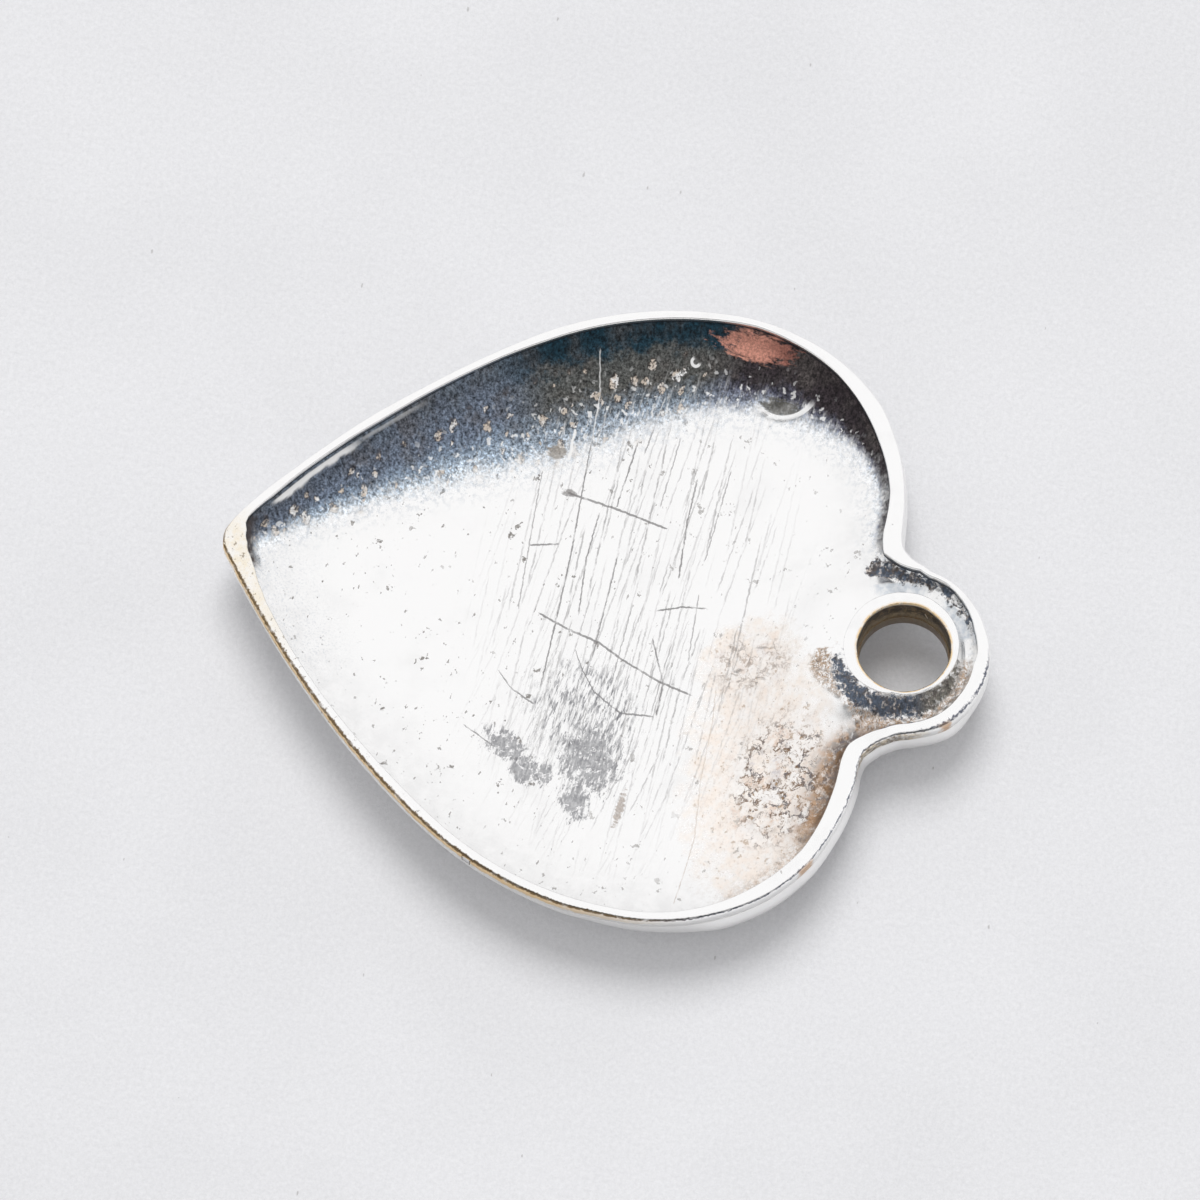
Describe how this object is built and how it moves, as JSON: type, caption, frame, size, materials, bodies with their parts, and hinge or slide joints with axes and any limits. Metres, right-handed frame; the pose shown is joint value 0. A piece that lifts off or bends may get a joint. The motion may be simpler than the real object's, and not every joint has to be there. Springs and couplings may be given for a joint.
{
  "type": "heart pendant",
  "caption": "Small silver-coloured heart pendant with a hollow dished back, a flat rim all round and a round hanging loop at the cleft.",
  "frame": {"origin": "middle of the box round the pendant, on the surface that its domed front rests on", "axes": "+Z out of the hollow back, -Y to the tip of the heart, +Y to the hanging loop, X across the width"},
  "size_m": [0.0212, 0.025, 0.0024],
  "materials": {
    "tarnished_silver": "silver plate with dark tarnish, brown residue, pits and fine scratches",
    "bright_silver": "bright silver plate, worn through to brass along the outer corner",
    "worn_plate": "bright silver plate outside, golden brown brass inside the bore"
  },
  "bodies": {
    "root": {"heart_pan": "tarnished_silver", "edge_rim": "bright_silver", "bore_collar": "worn_plate"}
  },
  "joints": []
}
